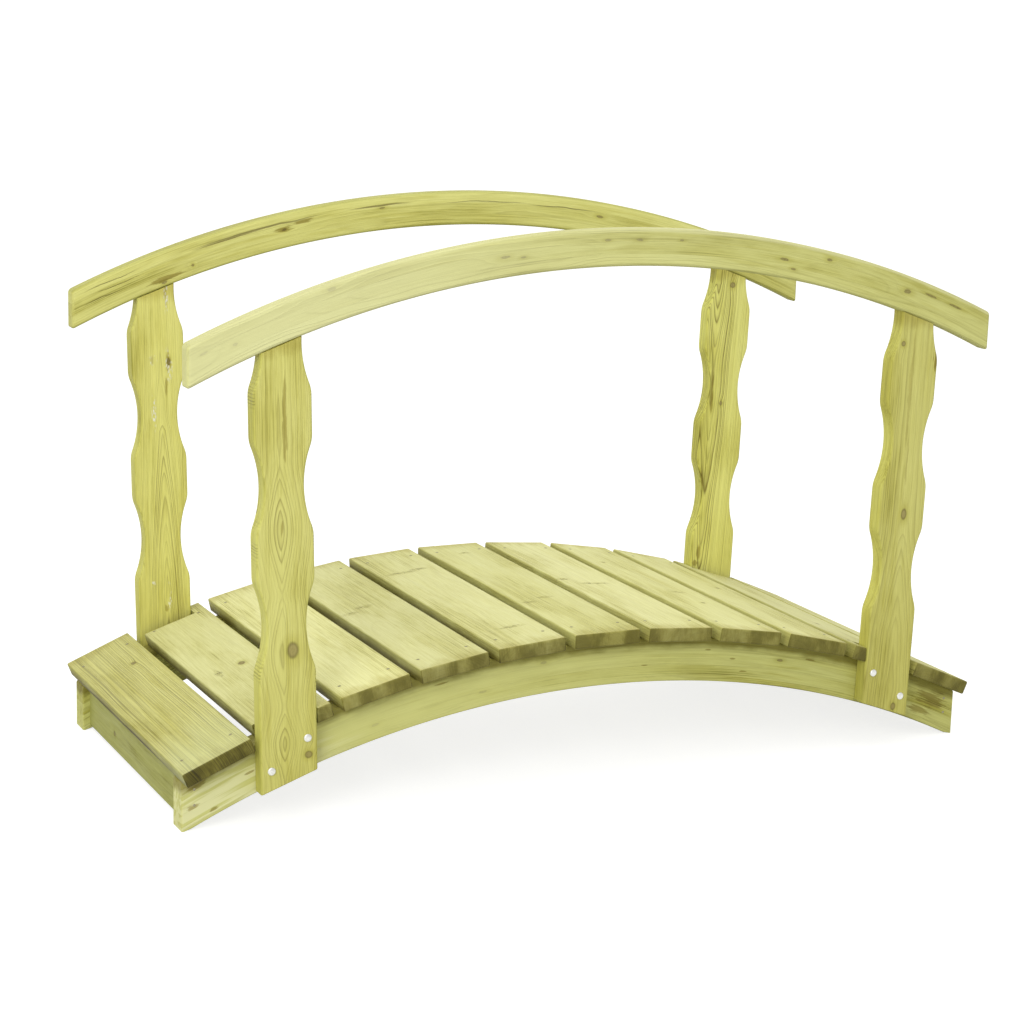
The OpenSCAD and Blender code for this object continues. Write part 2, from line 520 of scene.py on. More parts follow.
class Timber(Graph):
    """Material of one timber. Its noise is read at a moved place, so that no two timbers look alike."""

    def __init__(self, name, coordinates, seed, lamella):
        super().__init__(bpy.data.materials.new(name))
        self.spot, self.ends, self.edges = coordinates(self)
        self.across, self.along, self.through = self.split(self.spot)
        move = [seed * rate for rate in SEED_MOVES]
        if lamella:
            self.layers = self.across / lamella + 0.5
            self.layer_chance = self.chance(self.math("FLOOR", self.layers) + seed * LAYER_SEED)
            shift = self.layer_chance * LAYER_MOVE
            move = self.join(shift, shift + move[1], move[2])
        self.moved = self.vector("ADD", self.spot, move)

    def grain(self, across_rate, along_rate, **more):
        """Noise of the timber's own, in so many cells a metre across and along it."""
        return self.noise(self.moved, (across_rate, along_rate, across_rate), **more)

    def waver(self, across_rate, along_rate, reach, **more):
        """Such noise about zero, by half a reach either way."""
        return (self.grain(across_rate, along_rate, **more) - 0.5) * reach

    def distance(self, across, along, half_across, half_along):
        """Distance on a face from a place, as a share of the half sizes of an ellipse about it."""
        away = self.vector("SUBTRACT", self.spot, (across, along, 0.0))
        shares = self.vector("MULTIPLY", away, (1 / half_across, 1 / half_along, 0.0))
        return self.vector("LENGTH", shares, out=1)

    def near(self, places, rim, core, ragged=0.0):
        """1 in the core of any of the ellipses, 0 outside the rims of all."""
        near = 0.0
        for place in places:
            near = self.most(near, self.smooth(self.distance(*place) + ragged, rim, core))
        return near


# Wood

@dataclasses.dataclass(frozen=True)
class Look:
    """Colours and grain of one kind of timber."""
    light: tuple
    dark: tuple
    # Growth rings: their width and strength, and the pith line's depth, sway and wandering
    ring: float = 0.0050
    contrast: float = 0.6
    depth: float = 0.06
    sway: float = 0.03
    sway_pitch: float = 0.4
    wander: float = 0.035
    ripple: float = 0.003
    # Figure: rings are round at a point of 2 and sharper below it, and fade over a range of radii
    point: float = 2.0
    side_fade: float = 1.0
    fade_radii: tuple = (0.018, 0.048)
    # Strength of the marks along the grain and of the patches
    streaks: float = 0.4
    lines: float = 0.3
    hairs: float = 0.45
    line_rate: float = 360
    strokes: float = 0.3
    mottle: float = 0.5
    # Ends and edges: the end shade multiplies the colour on the end grain, and the edge shade, a painted
    # shade, multiplies it on the faces along the edges
    end_zone: float = 0.0
    end_shade: float = 1.0
    edge_shade: tuple = (1.0, 1.0, 1.0)
    knot_light: float = 0.3
    knot_share: float = 0.85
    knot_ragged: float = 0.8
    knot_rim: float = 1.0

    def toned(self, tone, **changes):
        """A copy whose light colour is multiplied by a tone, with other values changed as named."""
        return dataclasses.replace(self, light=tuple(c * t for c, t in zip(self.light, tone)), **changes)


KNOT_DARK = (0.12, 0.090, 0.026)
KNOT_WARM = (0.38, 0.315, 0.115)
CHECK_DARK = (0.15, 0.12, 0.035)
CHECK_SOFT = (0.20, 0.165, 0.045)
OLIVE = (0.78, 0.75, 0.47)
CREAM = (1.10, 1.12, 1.30)
# Painted shade on the sides of the deck boards
EDGE_SHADE_TONE = (0.85, 0.86, 0.72)
RESIN = (0.92, 0.92, 0.84)
# Grime along the boards' edges and ends, and painted shade with some dirt at the tops of the posts
GRIME_AND_SHADE = (0.66, 0.60, 0.36)
# Painted shadow under the deck boards' overhang
DECK_SHADOW_TONE = (0.42, 0.38, 0.20)
# Painted shade, with some dirt, deep in the deck's gaps and under the boards' ends
GAP_SHADE_AND_DIRT = (0.32, 0.28, 0.13)
STAIN = (0.50, 0.43, 0.27)
# Pale wood, and the painted highlight along a rail's upper edge
PALE_WOOD_AND_HIGHLIGHT = (0.81, 0.80, 0.43)
PALE_BEAM_WOOD = (0.74, 0.735, 0.27)
PALE_END_WOOD = (0.85, 0.84, 0.43)
PALE_NOSE_WOOD = (0.60, 0.64, 0.33)
# Darkness of the wood through one year, from early to late
YEAR = ((0.0, 0.3), (0.1, 0.0), (0.42, 0.08), (0.72, 0.42), (0.9, 1.0), (1.0, 0.3))
GRAIN_RELIEF = 0.0009
SATIN_LEAST, SATIN_MOST = 0.55, 0.72
GLUE_LINE = 0.0008
CHATTER_PITCH = 0.0064
CHATTER_PLACE, CHATTER_SPREAD = 0.37, 0.12
CRACK_RATE = 900.0
CHECK_WAVER = 0.012
PITH_FULL = 0.06
FAR_AWAY = 9.0
# Places between which soaked wood and the marks come in, from none to full
END_SOAK = (0.08, 0.34)
JOINT_SHADE_AND_DIRT = (0.030, 0.0)
DULL_FOOT = (0.42, 0.12)
DECK_SHADOW_BAND = (0.026, 0.009)
HIGHLIGHT_BAND, HIGHLIGHT_RUN = (0.009, 0.004), (-0.25, 0.10)
GRIMY_EDGE, GRIMY_END, SHADED_SIDE_BAND = (0.005, 0.0), (0.045, 0.0), (0.008, -0.009)


def bent_rings(t, knots):
    """Push that bends the rings round the knots, and the distance from the nearest knot, 1 at its rim."""
    push, nearest = 0.0, FAR_AWAY
    for across, along, r_across, r_along in knots:
        push += t.bell(t.distance(across, along, 2.2 * r_across, 4.0 * r_along)) * (1.2 * r_across)
        nearest = t.least(nearest, t.distance(across, along, r_across, r_along))
    return push, nearest


def pith_profile(t, depths):
    """Depth of the pith behind a post's middle, run smoothly through pairs of along and depth."""
    stops = [(along / post_length, depth / PITH_FULL) for along, depth in depths]
    return t.ramp(t.along / post_length, stops, "CARDINAL") * PITH_FULL


def pith_distance(t, look, seed, pith, depth, taper):
    """Distance from the pith line, which sways and wanders."""
    wander_across, wander_through, _ = t.split(t.grain(6, 2.0, out="Color"))
    sway = t.noise_line(t.along / look.sway_pitch + seed * 7.7, detail=1.5)
    out_across = t.across - pith + (wander_across - 0.5) * look.wander
    out_through = t.through + depth + (sway - 0.5) * (look.sway * 2)
    out_through += t.along * taper + (wander_through - 0.5) * (look.wander * 0.35)
    return (abs(out_across) ** look.point + abs(out_through) ** look.point) ** (1 / look.point)


def grown(t, look, radius, push, patch):
    """Colour of the growth rings, and how late in its year the wood grew."""
    fade = t.smooth(radius, *look.fade_radii, 1.0, look.side_fade)
    rippled = radius + t.grain(90, 7, detail=4) * look.ripple
    years = (rippled + push) / look.ring
    years += t.noise_line(years * 0.4) * 2.4
    late = t.ramp(t.math("FRACT", years), YEAR)
    year_depth = t.chance(t.math("FLOOR", years)) * 0.75 + 0.25
    share = late * year_depth * (patch * fade) * look.contrast * (t.ends * 0.3 + 1.0)
    return t.mix(t.least(share, 1.0), look.light, look.dark), late


def soaked(t, look, colour):
    """Darker zones where the treatment soaked in, with fibres, fine lines and strokes along the grain."""
    rate = look.line_rate
    soak = t.grain(11, 2.6, detail=5, roughness=0.6)
    soak += t.smooth(abs(t.along), *END_SOAK, 0.0, look.end_zone)
    zone = t.smooth(soak, 0.46, 0.68)
    fibre = t.grain(640, 14, detail=3, roughness=0.7)
    hair = t.smooth(t.grain(820, 5, detail=2, roughness=0.7), 0.5, 0.7) * zone
    streak = t.grain(rate, 2.6, detail=3, roughness=0.6)
    fine = t.smooth(t.grain(rate * 0.8, 1.7, detail=2, roughness=0.7), 0.55, 0.66)
    fine *= zone * 0.75 + 0.25
    stroke = t.smooth(t.grain(75, 4.5, detail=4), 0.55, 0.7)
    shade = (streak - 0.5) * ((zone * 0.7 + 0.3) * (2 * look.streaks)) + (fibre - 0.5) * 0.45
    shade -= fine * look.lines + hair * look.hairs
    colour = t.toned(1.0, colour, t.tint(shade * (1.0 - t.ends * 0.8) + 1.0))
    colour = t.toned(zone * look.mottle, colour, OLIVE)
    colour = t.toned(stroke * look.strokes, colour, OLIVE)
    colour = t.toned(t.smooth(soak, 0.5, 0.25, 0.0, look.mottle), colour, CREAM)
    return colour, fibre * 0.35 + streak * 0.25


def glued(t, look, colour, lamella, patch):
    """Layers of a bowed timber: each has its own tone, and a thin glue line shows here and there."""
    colour = t.toned(1.0, colour, t.tint(t.layer_chance * 0.1 + 0.95))
    off_middle = abs(t.math("FRACT", t.layers) - 0.5)
    glue = t.smooth(off_middle, 0.5 - GLUE_LINE / lamella, 0.5, 0.0, 0.25)
    return t.mix(glue * patch, colour, look.dark)


def knotted(t, look, colour, nearest):
    """Knots with a bark-like core, a dark rim and a halo of olive wood."""
    ragged = nearest + t.waver(190, 60, look.knot_ragged, detail=4, roughness=0.6)
    core = t.smooth(ragged, 1.12, 0.8)
    rim = t.bell((ragged - 1.0) * 4.2) * ((0.75 - 0.4 * look.knot_light) * look.knot_rim)
    halo = t.smooth(ragged, 3.2, 1.0, 0.0, 0.55)
    turns = t.math("SINE", ragged * 15.0)
    bark = turns * 0.2 + (t.grain(420, 260, detail=3) + (look.knot_light - 0.35))
    colour = t.toned(halo, colour, OLIVE)
    core_colour = t.mix(t.smooth(bark, 0.0, 1.0), KNOT_DARK, KNOT_WARM)
    colour = t.mix(core * look.knot_share, colour, core_colour)
    return t.mix(rim * look.knot_share, colour, KNOT_DARK)


def checked(t, colour, height, checks):
    """Drying checks: dark lines that run with the grain, waver a little and thin out towards their ends."""
    waver = (t.noise(t.spot, (4, 9, 4), detail=3) - 0.5) * CHECK_WAVER
    mask = 0.0
    for across, along, half_width, half_length in checks:
        off_across = (t.across - across + waver) / half_width
        off_along = (t.along - along) / half_length
        mask = t.most(mask, t.smooth(off_across * off_across + off_along * off_along, 1.0, 0.0))
    return t.mix(mask * 0.85, colour, CHECK_SOFT), height - mask


def end_grained(t, look, colour):
    """Ends drink more of the treatment, in patches and in streaks through the thickness."""
    blot = t.noise(t.moved, (24, 30, 12), detail=3)
    blot += (t.noise(t.moved, (420, 90, 70), detail=4, roughness=0.65) - 0.5) * 0.3
    darkest = look.end_shade * 0.8 if look.end_shade < 1.0 else 0.94
    end_tone = t.smooth(blot, 0.36, 0.70, darkest, min(look.end_shade * 1.7, 1.0))
    return t.toned(t.ends, colour, t.tint(end_tone))


def wood(name, coordinates, look, seed, pith=0.0, pith_depths=(), taper=0.0, knots=(), checks=(),
         lamella=0.0, marks=()):
    """Planed, treated pine. Growth rings lie round a pith line, so faces, edges and ends cut one timber."""
    t = Timber(name, coordinates, seed, lamella)
    if lamella:
        pith = (t.layer_chance - 0.5) * 0.05 + pith
    depth = pith_profile(t, pith_depths) if pith_depths else look.depth
    radius = pith_distance(t, look, seed, pith, depth, taper)
    push, nearest_knot = bent_rings(t, knots)
    patch = t.smooth(t.grain(22, 2.6, detail=3), 0.3, 0.66, 0.3, 1.0)
    colour, late = grown(t, look, radius, push, patch)
    colour, grain = soaked(t, look, colour)
    height = late * 0.4 + grain
    if lamella:
        colour = glued(t, look, colour, lamella, patch)
    if knots:
        colour = knotted(t, look, colour, nearest_knot)
    if checks:
        colour, height = checked(t, colour, height, checks)
    colour = end_grained(t, look, colour)
    for mark in marks:
        colour, height = mark(t, colour, height)
    # Painted shade on the edge faces: the tops and undersides of bowed timbers, the sides of straight ones
    colour = t.toned(t.edges, colour, look.edge_shade)
    roughness = t.smooth(t.grain(60, 8, detail=2), 0.2, 0.8, SATIN_LEAST, SATIN_MOST)
    return t.finish(colour, roughness, height, GRAIN_RELIEF, {"Specular IOR Level": 0.3})


# Marks: each changes the colour and the height of a timber

def metres(*places):
    """Places that are given in millimetres, as metres."""
    return [[part / 1000 for part in place] for place in places]


def chatter_marks(t, colour, height):
    """Ripples that the router left across the edges of a post, where it climbed out of a scallop."""
    place = t.along + t.grain(9, 55, detail=3) * 0.012
    beat = t.math("SINE", place * (2 * math.pi / CHATTER_PITCH))
    below = t.math("FRACT", (post_length - t.along) / SCALLOP_PITCH)
    run = t.bell((below - CHATTER_PLACE) / CHATTER_SPREAD)
    run *= t.smooth(t.grain(8, 16, detail=2), 0.36, 0.56)
    ripple = t.smooth(beat, -0.1, 0.9) * run * t.edges
    return t.mix(ripple * 0.42, colour, CHECK_DARK), height - ripple * 0.9


def joint_shade_and_dirt(t, colour, height):
    """Painted shade with some dirt on the top of a post, under the rail, and a duller foot."""
    ragged = t.waver(60, 30, 0.03, detail=3)
    near = t.smooth(post_length - t.along + ragged, *JOINT_SHADE_AND_DIRT, 0.0, 0.7)
    low = t.smooth(t.along + ragged * 2.0, *DULL_FOOT, 0.0, 0.45)
    return t.toned(near, t.toned(low, colour, OLIVE), GRIME_AND_SHADE), height


def shade_under_deck(t, colour, height):
    """Painted shadow along a beam's upper edge, under the overhang of the deck boards."""
    ragged = t.waver(40, 22, 0.016, detail=4)
    stain = t.smooth(BEAM_DEPTH / 2 - t.across + ragged, *DECK_SHADOW_BAND, 0.0, 0.95)
    return t.toned(stain, colour, DECK_SHADOW_TONE), height


def bleached(start, end, most, tone, on_ends=0.6, streaks=0):
    """Paler, plainer wood, from none at one place along the timber to the most at another, or in streaks."""
    def mark(t, colour, height):
        ragged = t.waver(20, 2.5, 0.4, detail=3)
        pale = t.smooth(t.along + ragged, start, end, 0.0, most) * (1.0 - t.ends * (1.0 - on_ends))
        if streaks:
            pale *= t.smooth(t.grain(streaks, 5, detail=3), 0.42, 0.55)
        return t.mix(pale, colour, tone), height
    return mark


def top_highlight(t, colour, height):
    """Painted highlight along the upper edge of a rail, from its middle to its back end."""
    ragged = t.waver(50, 6, 0.006, detail=3)
    pale = t.smooth(RAIL_DEPTH / 2 - t.across + ragged, *HIGHLIGHT_BAND, 0.0, 0.5)
    return t.mix(pale * t.smooth(t.along, *HIGHLIGHT_RUN), colour, PALE_WOOD_AND_HIGHLIGHT), height


def stained(most, *places):
    """Brown patches with ragged rims, each within an ellipse given in millimetres."""
    def mark(t, colour, height):
        ragged = (t.noise(t.spot, (330, 26, 330), detail=4, roughness=0.6) - 0.5) * 3.0
        return t.toned(t.near(metres(*places), 1.1, 0.6, ragged) * most, colour, STAIN), height
    return mark


def resin_beads(t, colour, height):
    """Dried resin that ran down the grain in broken columns of beads, with dirt caught in it."""
    cells = {"Vector": t.vector("MULTIPLY", t.spot, (300, 110, 0)), "Scale": 1.0}
    bead = t.smooth(t.value("ShaderNodeTexVoronoi", cells, "Distance"), 0.55, 0.25)
    near = t.near(RESIN_RUNS, 1.1, 0.3)
    share = bead * near * t.smooth(t.noise(t.spot, (60, 30, 60), detail=3), 0.36, 0.50)
    dirt = near * t.smooth(t.noise(t.spot, (120, 22, 120), detail=3), 0.5, 0.68) * 0.55
    return t.mix(share * 0.9, t.mix(dirt, colour, KNOT_WARM), RESIN), height + share * 0.6


def board_grime_and_shade(dirt):
    """Darker wood along a board's edges and ends, painted shade with some dirt low on its sides and ends, and
    the dent round each deck screw, darkened as painted shade.
    """
    def mark(t, colour, height):
        ragged = t.grain(45, 13, detail=4, roughness=0.6) - 0.5
        to_edge = board_width / 2 - abs(t.across)
        to_end = board_length / 2 - abs(t.along)
        near_edge = t.smooth(to_edge + ragged * 0.022, *GRIMY_EDGE, 0.0, 0.3)
        near_end = t.smooth(to_end + ragged * 0.10, *GRIMY_END, 0.0, 0.5)
        colour = t.toned(t.most(near_edge, near_end), colour, GRIME_AND_SHADE)
        # Painted shade, with some dirt, in the given share: darker low on the sides and ends, deep in the
        # gaps and under the overhang
        low = t.smooth(t.through + ragged * 0.02, *SHADED_SIDE_BAND)
        side = t.least(t.edges + t.ends * 0.22, 1.0)
        colour = t.toned(low * side * dirt, colour, GAP_SHADE_AND_DIRT)
        off_across = abs(t.across) - DECK_SCREW_ACROSS
        off_along = abs(t.along) - beam_middle_y
        off = t.math("SQRT", off_across * off_across + off_along * off_along)
        # The dent is darkened as painted shade in the countersink round the screw
        dent = t.smooth(off, SCREW_R * 1.6, SCREW_R * 0.9)
        return t.mix(dent * 0.35, colour, CHECK_DARK), height - dent
    return mark


def torn_grain(places):
    """Cracks and flecks across the grain, each within an ellipse."""
    def mark(t, colour, height):
        waver = t.waver(42, 20, 0.026, detail=4)
        near = crack = 0.0
        for place in places:
            inside = t.smooth(t.distance(*place), 1.0, 0.3)
            line = t.bell((t.along - place[1] + waver) * CRACK_RATE)
            near = t.most(near, inside)
            crack = t.most(crack, line * inside)
        broken = t.smooth(t.grain(190, 190, detail=2), 0.4, 0.56)
        fleck = t.smooth(t.grain(120, 420, detail=4, roughness=0.65), 0.54, 0.62)
        share = t.most(crack * broken, near * fleck)
        colour = t.toned(near * 0.3, colour, OLIVE)
        return t.mix(share * 0.8, colour, CHECK_DARK), height - share
    return mark


# Looks of the timbers

RAIL_LOOK = Look(
    (0.71, 0.70, 0.24), (0.38, 0.355, 0.095), contrast=0.4, depth=0.07, sway=0.010, streaks=0.22, lines=0.22,
    line_rate=300, strokes=0.5, mottle=0.55, edge_shade=(0.85, 0.85, 0.87), knot_share=0.75, knot_ragged=1.6,
    knot_rim=0.2,
)
FAR_RAIL_LOOK = dataclasses.replace(
    RAIL_LOOK, light=(0.71, 0.69, 0.225), dark=(0.30, 0.265, 0.06), contrast=0.45, streaks=0.32, lines=0.35,
    mottle=0.5, edge_shade=(0.72, 0.73, 0.64),
)
BEAM_LOOK = dataclasses.replace(
    RAIL_LOOK, light=(0.64, 0.635, 0.195), dark=(0.34, 0.32, 0.08), contrast=0.6, depth=0.08, sway=0.012,
    streaks=0.5, lines=0.45, strokes=0.9, mottle=0.7, edge_shade=(1.0, 1.0, 1.0),
)
POST_LOOK = Look(
    (0.72, 0.69, 0.21), (0.25, 0.205, 0.04), ring=0.0062, contrast=1.1, sway=0.0012, sway_pitch=0.1,
    wander=0.010, ripple=0.0016, streaks=0.26, line_rate=420, strokes=0.4, mottle=0.6,
    edge_shade=(0.90, 0.91, 0.77), knot_light=0.85, knot_ragged=0.3, point=1.3, side_fade=0.5,
)
SPINDLE_LOOK = POST_LOOK.toned(
    (1.04, 1.045, 1.055), ring=0.0045, contrast=1.15, side_fade=0.4, knot_rim=1.5, fade_radii=(0.036, 0.046),
)
RINGED_KNOT_LOOK = POST_LOOK.toned((1.0, 1.0, 0.96), knot_rim=1.7)
FLAME_LOOK = POST_LOOK.toned(
    (1.05, 1.05, 1.02), ring=0.0028, contrast=1.4, lines=0.35, knot_light=0.5, point=1.45, side_fade=0.3,
    fade_radii=(0.042, 0.056),
)
BOLD_LOOK = POST_LOOK.toned(
    (1.17, 1.19, 1.17), ring=0.0034, contrast=1.9, lines=0.35, knot_light=0.6, point=1.6, side_fade=0.3,
    fade_radii=(0.048, 0.066),
)
BOARD_LOOK = Look(
    (0.675, 0.66, 0.295), (0.36, 0.32, 0.09), contrast=0.25, depth=0.09, sway=0.012, streaks=0.12, hairs=0.5,
    line_rate=850, strokes=0.2, mottle=0.45, end_zone=0.07, end_shade=0.42, edge_shade=EDGE_SHADE_TONE,
)
PALE_BOARD_LOOK = BOARD_LOOK.toned(
    (1.09, 1.09, 1.12), contrast=0.22, hairs=0.4, mottle=0.4, end_zone=0.05, end_shade=0.38,
)
DULL_BOARD_LOOK = BOARD_LOOK.toned((0.94, 0.94, 0.94))
WARM_BOARD_LOOK = BOARD_LOOK.toned((0.98, 0.98, 0.91))
WARM_PALE_LOOK = PALE_BOARD_LOOK.toned((0.98, 0.98, 0.92))
LAST_BOARD_LOOK = BOARD_LOOK.toned((1.0, 1.0, 0.98), end_shade=0.35)
NOSE_LOOK = Look(
    (0.575, 0.55, 0.185), (0.13, 0.11, 0.03), ring=0.0038, contrast=1.25, depth=0.03, sway=0.002, wander=0.02,
    ripple=0.0012, streaks=0.25, lines=0.25, hairs=0.5, strokes=0.4, mottle=0.55, end_zone=-0.06,
    end_shade=0.30, edge_shade=EDGE_SHADE_TONE,
)
# The riser's colours are darker than the other timbers', as painted shade under the noses of the end boards
RISER_LOOK = Look(
    (0.42, 0.425, 0.115), (0.24, 0.235, 0.06), contrast=0.5, sway=0.01, streaks=0.25, mottle=0.6,
)

# Grain of the timbers

# Knots, checks, stains and the like are in millimetres: across, along, and the half sizes across and along
RESIN_RUNS = metres(
    (20, 880, 6, 50), (22, 735, 9, 45), (-12, 640, 6, 45), (-11, 747, 10, 12), (9, 250, 6, 36),
    (-24, 281, 7, 8),
)
RAIL_GRAIN = {
    "right": dict(
        look=RAIL_LOOK,
        knots=metres(
            (10, -830, 2, 7), (0, -773, 2.5, 5), (26, -577, 3.5, 9), (3, -241, 3, 9), (-2, -204, 2, 6),
            (15, -32, 2, 6), (14, 34, 2.5, 8), (15, 123, 2, 5), (1, 350, 3, 10), (-14, 375, 2, 5),
            (18, 452, 3, 7), (5, 646, 4.5, 9), (14, 704, 2, 13), (14, 765, 2.2, 16),
        ),
        marks=(bleached(0.45, -0.75, 0.65, PALE_WOOD_AND_HIGHLIGHT), top_highlight),
    ),
    "left": dict(
        look=FAR_RAIL_LOOK,
        knots=metres((-13, -604, 3, 3), (-26, -672, 3, 6), (3, -398, 3, 7), (12, -180, 2, 7), (4, 330, 3, 8)),
        checks=metres(
            (16.5, -455, 2.6, 165), (14, -520, 1.6, 90), (16.5, -185, 2.6, 80), (20, -770, 0.8, 70),
            (8, -760, 0.8, 60), (-4, -800, 0.7, 50), (14, 60, 1, 120), (12, 240, 1.2, 100),
        ),
        marks=[stained(0.9, (11, -352, 5, 22), (3, -398, 6, 22), (-20, -668, 5, 45))],
    ),
}
BEAM_GRAIN = {
    "right": dict(
        knots=metres(
            (-15, -473, 2.5, 7), (-15, -248, 2.5, 8), (18, -119, 3.5, 8), (-19, -592, 2.5, 5),
            (10, 410, 2.5, 7),
        ),
        marks=(
            bleached(0.45, -0.48, 0.66, PALE_BEAM_WOOD),
            bleached(-0.50, -0.78, 1.0, PALE_END_WOOD, streaks=80),
            stained(
                0.85, (27, -825, 7, 22), (-7, -850, 4.5, 14), (-1, -730, 3, 10), (-31, -815.5, 5, 8),
                (20, 240, 2, 7), (4, 300, 2, 6), (-20, 330, 1.8, 8), (20, 480, 2.2, 10), (10, 800, 16, 40),
                (-20, 780, 8, 30), (-10, 100, 1.8, 9), (22, -330, 2, 12),
            ),
            shade_under_deck,
        ),
    ),
    "left": dict(knots=metres((10, -350, 3, 8), (-20, 120, 3, 7), (15, 560, 3, 6)), marks=[shade_under_deck]),
}
# Pith is its place across, in metres. Its depths are pairs of along and depth, in millimetres: the rings come
# up to the face where the depth is least.
POST_GRAIN = {
    "front_right": dict(
        look=SPINDLE_LOOK, pith=-0.009,
        pith_depths=metres(
            (50, 24), (110, 20), (158, 12), (205, 21), (240, 23), (330, 11), (420, 23), (450, 23.5),
            (555, 10), (660, 23.5), (720, 24.2), (800, 25.5), (930, 28),
        ),
        knots=metres((10, 331, 9.5, 13.5), (37, 130, 6.5, 6)),
        marks=(
            chatter_marks, stained(0.7, (3, 800, 3.5, 30), (2, 750, 4, 75), (-6, 555, 2.5, 14)), joint_shade_and_dirt,
        ),
    ),
    "back_right": dict(
        look=RINGED_KNOT_LOOK, pith=0.006,
        pith_depths=metres((50, 10), (150, 16), (270, 24), (450, 45), (930, 50)),
        knots=metres((5, 490, 5.5, 10), (-31, 836, 4, 4.5), (20, 87, 5, 7)),
        marks=(stained(1.0, (49, 800, 5, 20)), stained(0.4, (-6, 760, 4, 130), (1, 600, 3, 60)), joint_shade_and_dirt),
    ),
    "front_left": dict(
        look=FLAME_LOOK, pith=0.005,
        pith_depths=metres((50, 10), (200, 4), (600, 26), (700, 32), (930, 36)),
        knots=metres((22, 742, 3, 7)),
        marks=(stained(0.7, (22, 742, 6, 18), (16, 690, 3, 20), (2, 228, 5, 8)), resin_beads, joint_shade_and_dirt),
    ),
    "back_left": dict(
        look=BOLD_LOOK, pith=-0.031,
        pith_depths=metres((50, 36), (200, 32), (400, 25), (550, 16), (720, 13), (860, 1), (930, 0)),
        knots=metres((4, 859, 6, 6), (-5.4, 591, 3.5, 4.5)),
        marks=(stained(0.8, (-30, 610, 4, 60), (-36, 250, 5, 20), (-44, 222, 9, 6)), joint_shade_and_dirt),
    ),
}
BOARD_GRAIN = {
    1: dict(look=NOSE_LOOK, pith=-0.16, knots=metres((28, 210, 4, 6))),
    2: dict(look=DULL_BOARD_LOOK, pith=0.01, knots=metres((20, -29, 6, 8))),
    3: dict(look=PALE_BOARD_LOOK, pith=0.05, knots=metres((-20, 160, 3, 4))),
    4: dict(look=DULL_BOARD_LOOK, pith=-0.03),
    5: dict(look=BOARD_LOOK, pith=0.03),
    6: dict(look=WARM_BOARD_LOOK, pith=-0.05),
    7: dict(look=PALE_BOARD_LOOK, pith=0.06),
    8: dict(look=WARM_PALE_LOOK, pith=0.0, knots=metres((20, -150, 4, 3), (-30, 200, 4, 3))),
    9: dict(look=WARM_PALE_LOOK, pith=-0.06, knots=metres((20, 60, 4, 4))),
    10: dict(look=LAST_BOARD_LOOK, pith=0.03, knots=metres((-20, -160, 4, 5))),
    11: dict(look=LAST_BOARD_LOOK, pith=-0.02, knots=metres((10, 90, 5, 6), (-30, -220, 3, 5))),
}
BOARD_FLECKS = {
    2: metres((-30, -30, 10, 30)),
    4: metres((-11, 45, 26, 14), (-48, 24, 22, 12)),
    5: metres((-20, 206, 50, 12), (20, 215, 30, 10), (12, -262, 40, 10)),
    6: metres((4, 296, 18, 10), (2, -98, 24, 11), (-45, -125, 20, 10)),
    7: metres((-55, 30, 20, 12), (0, -8, 45, 10)),
    8: metres((10, -60, 26, 9)),
}
RISER_KNOTS = metres((10, 120, 4, 5))
RAIL_LAMELLA = RAIL_DEPTH / 3
BEAM_LAMELLA = BEAM_DEPTH / 4
# Share of the painted shade in the gaps, at the front boards and at the back ones
FRONT_GAP_SHADE, BACK_GAP_SHADE = 0.85, 0.3


def board_marks(n):
    marks = [board_grime_and_shade(FRONT_GAP_SHADE if n <= BOARDS // 2 else BACK_GAP_SHADE)]
    if n == 1:
        marks.append(bleached(-0.12, -0.34, 0.34, PALE_NOSE_WOOD, on_ends=0.0))
    if n in BOARD_FLECKS:
        marks.append(torn_grain(BOARD_FLECKS[n]))
    return marks


# Timbers

def add_piece(name, mesh, material, node=None):
    """Puts a mesh into the scene as a piece that rides the bridge, in place of a CAD node if one is named."""
    piece = placed(name, mesh)
    mesh.materials.append(material)
    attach(piece, "root")
    if node:
        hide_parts(node)


def add_timber(node, slot, mesh, coordinates, **grain):
    """Puts a timber in the place of its CAD node, in wood of its own."""
    add_piece(f"{node}_timber", mesh, wood(f"{node}_wood", coordinates, **grain), node)


for side_name, side in SIDES.items():
    rail, rail_y = f"{side_name}_handrail", side * post_middle_y
    add_timber(rail, "rail_wood", arch_mesh(rail, rail_arch, rail_y, RAIL_EDGE), bowed(rail_arch, rail_y),
               seed=3.0 + side, pith=0.01, lamella=RAIL_LAMELLA, **RAIL_GRAIN[side_name])
    beam, beam_y = f"{side_name}_beam", side * beam_middle_y
    add_timber(beam, "beam_wood", arch_mesh(beam, beam_arch, beam_y, BEAM_EDGE), bowed(beam_arch, beam_y),
               look=BEAM_LOOK, seed=7.0 + side, pith=-0.01, lamella=BEAM_LAMELLA, **BEAM_GRAIN[side_name])
    for end_name, end in ENDS.items():
        corner = f"{end_name}_{side_name}"
        post = f"{corner}_post"
        add_timber(post, "post_wood", post_mesh(post, end, side), framed(post_place(end, side)),
                   seed=11.0 + end + 2.5 * side, **POST_GRAIN[corner])

for n in range(1, BOARDS + 1):
    board = f"deck_board_{n:02d}"
    notched_end = {NOTCHED_BOARD: FRONT, BOARDS + 1 - NOTCHED_BOARD: BACK}.get(n)
    mesh = notched_board_mesh(board, n, notched_end) if notched_end else board_mesh(board, n)
    add_timber(board, "board_wood", mesh, framed(board_matrix(n)), seed=20.0 + 1.3 * n, taper=0.01,
               marks=board_marks(n), **BOARD_GRAIN[n])

